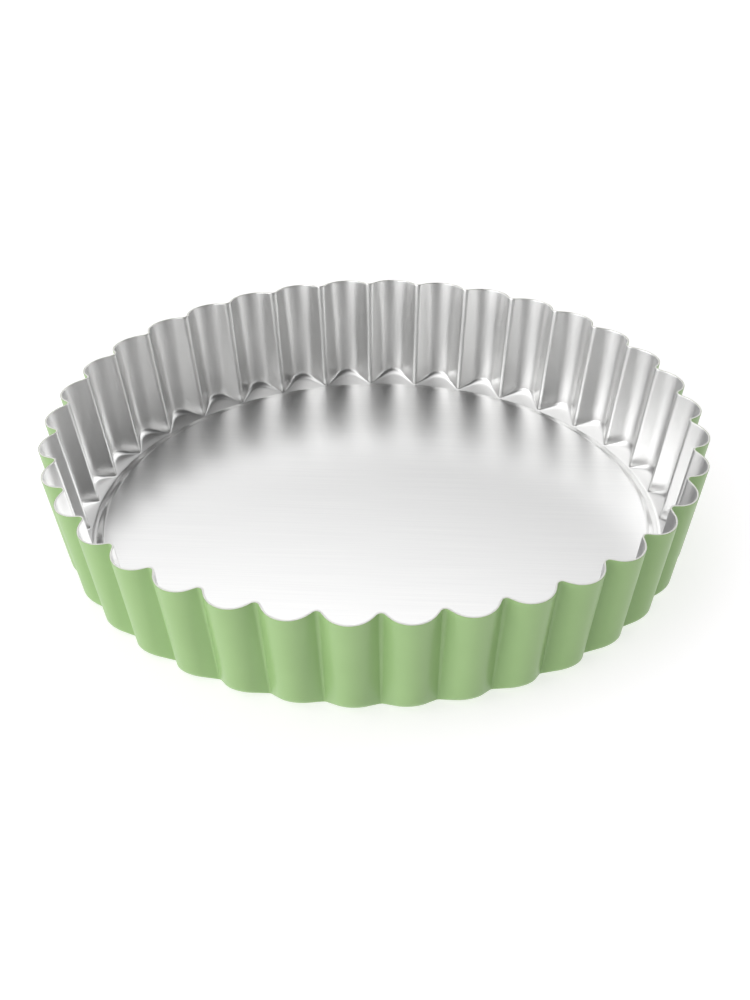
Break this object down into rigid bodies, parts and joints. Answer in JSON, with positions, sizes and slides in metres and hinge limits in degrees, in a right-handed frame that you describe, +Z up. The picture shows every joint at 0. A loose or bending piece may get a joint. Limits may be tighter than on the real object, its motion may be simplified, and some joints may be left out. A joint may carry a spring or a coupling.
{
  "type": "tart pan",
  "caption": "Deep round tart pan with a tapered fluted wall, coated outside and bare inside, and a loose base that lifts out.",
  "frame": {"origin": "centre of the pan on the flat underside, the plane it stands on", "axes": "+Z up along the pan's axis towards its open rim; the outward lobes of four flutes point along +X, +Y, -X and -Y"},
  "size_m": [0.2794, 0.2794, 0.05],
  "materials": {
    "green_coat": "satin",
    "bare_metal": "satin"
  },
  "bodies": {
    "ring": {"fluted_ring": "green_coat"},
    "base": {"loose_base": "bare_metal"}
  },
  "joints": [
    {"name": "base_lift", "type": "slide", "parent": "ring", "child": "base", "axis": [0, 0, 1], "range_m": [0, 0.08]}
  ]
}
